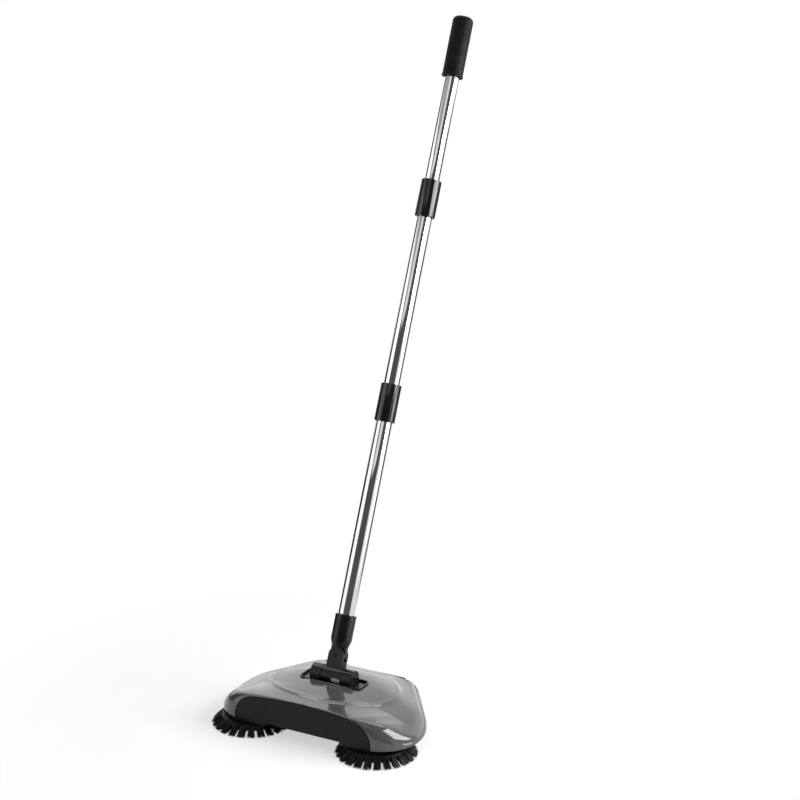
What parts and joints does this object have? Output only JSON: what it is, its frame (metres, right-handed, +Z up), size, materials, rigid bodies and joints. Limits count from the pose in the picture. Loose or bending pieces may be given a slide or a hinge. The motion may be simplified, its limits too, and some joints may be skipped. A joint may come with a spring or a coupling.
{
  "type": "carpet sweeper",
  "caption": "Push sweeper: domed cover, round side brushes and a roller driven by its wheels, rear dust box, and a sliding pole on a universal joint.",
  "frame": {"origin": "on the floor, straight below the pole's tilt axis, on the sweeper's middle plane", "axes": "+Z up; -Y to the front, the way the sweeper is pushed; +X to the viewer's right from the front"},
  "size_m": [0.2936, 0.4689, 0.9043],
  "materials": {
    "grey_cover": "moulded ABS, glossy",
    "black_plastic": "moulded ABS, satin to glossy",
    "black_panel": "moulded ABS, glossy",
    "bright_tube": "drawn thin-wall steel tube, polished and plated",
    "steel": "turned steel, plain",
    "black_fibre": "drawn polypropylene filament",
    "black_rubber": "moulded rubber, matte",
    "white_nylon": "moulded nylon"
  },
  "bodies": {
    "sweeper_body": {"chassis": "black_plastic", "top_shell": "grey_cover", "front_panel": "black_panel", "pole_bracket": "black_plastic", "bracket_screws": "steel", "shell_screws": "steel", "tilt_pin": "steel", "wheel_axle_right": "steel", "wheel_axle_left": "steel", "drive_belt_right": "black_rubber", "drive_belt_left": "black_rubber", "roller_bush_right": "white_nylon", "roller_bush_left": "white_nylon", "caster_pin_right": "steel", "caster_pin_left": "steel"},
    "pole_neck": {"pole_yoke": "black_plastic", "swivel_pin": "steel"},
    "lower_pole": {"pole_socket": "black_plastic", "lower_tube": "bright_tube", "lower_lock_bush": "white_nylon"},
    "middle_pole": {"middle_tube": "bright_tube", "upper_lock_bush": "white_nylon"},
    "upper_pole": {"upper_tube": "bright_tube", "hand_grip": "black_plastic"},
    "lower_sleeve": {"lower_collar": "black_plastic"},
    "upper_sleeve": {"upper_collar": "black_plastic"},
    "dust_drawer": {"dust_box": "black_plastic", "dust_lip": "black_rubber"},
    "wheel_right": {"wheel_hub_right": "black_plastic", "wheel_tyre_right": "black_rubber"},
    "wheel_left": {"wheel_hub_left": "black_plastic", "wheel_tyre_left": "black_rubber"},
    "roller": {"roller_shaft": "steel", "roller_core": "black_plastic", "roller_bristles": "black_fibre", "roller_pulley_right": "white_nylon", "roller_pulley_left": "white_nylon", "roller_pinion_right": "white_nylon", "roller_pinion_left": "white_nylon"},
    "brush_right": {"brush_disc_right": "black_plastic", "brush_bristles_right": "black_fibre", "brush_gear_right": "white_nylon", "brush_screw_right": "steel"},
    "brush_left": {"brush_disc_left": "black_plastic", "brush_bristles_left": "black_fibre", "brush_gear_left": "white_nylon", "brush_screw_left": "steel"},
    "caster_right": {"caster_wheel_right": "black_plastic"},
    "caster_left": {"caster_wheel_left": "black_plastic"}
  },
  "joints": [
    {"name": "pole_tilt", "type": "hinge", "parent": "sweeper_body", "child": "pole_neck", "pos_m": [0, 0, 0.0655], "axis": [-1, 0, 0], "range_deg": [-22.8, 49]},
    {"name": "pole_swivel", "type": "hinge", "parent": "pole_neck", "child": "lower_pole", "pos_m": [0, 0.01046, 0.09039], "axis": [0, -0.9219, 0.3875], "range_deg": [-60, 60]},
    {"name": "lower_collar_twist", "type": "hinge", "parent": "lower_pole", "child": "lower_sleeve", "pos_m": [0, 0.13311, 0.38216], "axis": [0, 0.3875, 0.9219], "range_deg": [0, 90]},
    {"name": "middle_tube_slide", "type": "slide", "parent": "lower_pole", "child": "middle_pole", "axis": [0, 0.3875, 0.9219], "range_m": [-0.22, 0]},
    {"name": "upper_collar_twist", "type": "hinge", "parent": "middle_pole", "child": "upper_sleeve", "pos_m": [0, 0.24258, 0.64259], "axis": [0, 0.3875, 0.9219], "range_deg": [0, 90]},
    {"name": "upper_tube_slide", "type": "slide", "parent": "middle_pole", "child": "upper_pole", "axis": [0, 0.3875, 0.9219], "range_m": [-0.135, 0]},
    {"name": "dust_box_slide", "type": "slide", "parent": "sweeper_body", "child": "dust_drawer", "axis": [0, 1, 0], "range_m": [0, 0.105]},
    {"name": "wheel_right_spin", "type": "hinge", "parent": "sweeper_body", "child": "wheel_right", "pos_m": [0.0694, 0.014, 0.02], "axis": [1, 0, 0], "continuous": true},
    {"name": "wheel_left_spin", "type": "hinge", "parent": "sweeper_body", "child": "wheel_left", "pos_m": [-0.0694, 0.014, 0.02], "axis": [1, 0, 0], "continuous": true},
    {"name": "roller_spin", "type": "hinge", "parent": "sweeper_body", "child": "roller", "pos_m": [0, -0.0545, 0.0274], "axis": [1, 0, 0], "continuous": true},
    {"name": "brush_right_spin", "type": "hinge", "parent": "sweeper_body", "child": "brush_right", "pos_m": [0.0942, -0.0545, 0.01], "axis": [0, 0, 1], "continuous": true},
    {"name": "brush_left_spin", "type": "hinge", "parent": "sweeper_body", "child": "brush_left", "pos_m": [-0.0942, -0.0545, 0.01], "axis": [0, 0, 1], "continuous": true},
    {"name": "caster_right_spin", "type": "hinge", "parent": "sweeper_body", "child": "caster_right", "pos_m": [0.07, 0.065, 0.009], "axis": [1, 0, 0], "continuous": true},
    {"name": "caster_left_spin", "type": "hinge", "parent": "sweeper_body", "child": "caster_left", "pos_m": [-0.07, 0.065, 0.009], "axis": [1, 0, 0], "continuous": true}
  ],
  "couplings": [
    {"joint": "brush_left_spin", "follows": "brush_right_spin", "ratio": -1},
    {"joint": "roller_spin", "follows": "brush_right_spin", "ratio": -2.5},
    {"joint": "wheel_right_spin", "follows": "brush_right_spin", "ratio": -1.25},
    {"joint": "wheel_left_spin", "follows": "brush_right_spin", "ratio": -1.25}
  ]
}
